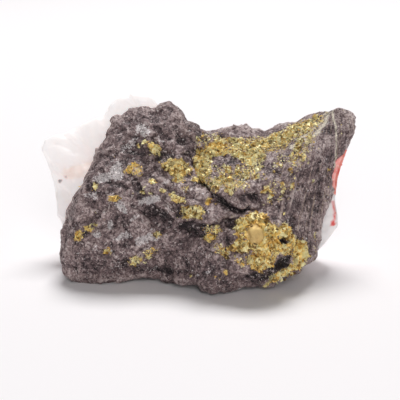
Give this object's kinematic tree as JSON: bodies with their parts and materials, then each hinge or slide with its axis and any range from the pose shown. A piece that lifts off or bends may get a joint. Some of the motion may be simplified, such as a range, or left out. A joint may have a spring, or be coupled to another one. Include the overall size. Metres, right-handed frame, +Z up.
{
  "type": "mineral specimen",
  "caption": "Hand-sized rock specimen of dark matrix with raised golden orpiment crusts, white calcite behind it and red realgar crystals at one end, resting on flat worn feet",
  "frame": {"origin": "middle of the specimen's box at the level of the surface it stands on", "axes": "+Z up as it rests, +X along its length towards the pointed end, -Y out of the dark face with the orpiment, +Y towards the white calcite back"},
  "size_m": [0.0628, 0.0384, 0.0339],
  "materials": {
    "dark_rock": "rough",
    "calcite": "satin",
    "orpiment": "satin",
    "realgar": "satin"
  },
  "bodies": {
    "root": {"specimen": "dark_rock"}
  },
  "joints": []
}
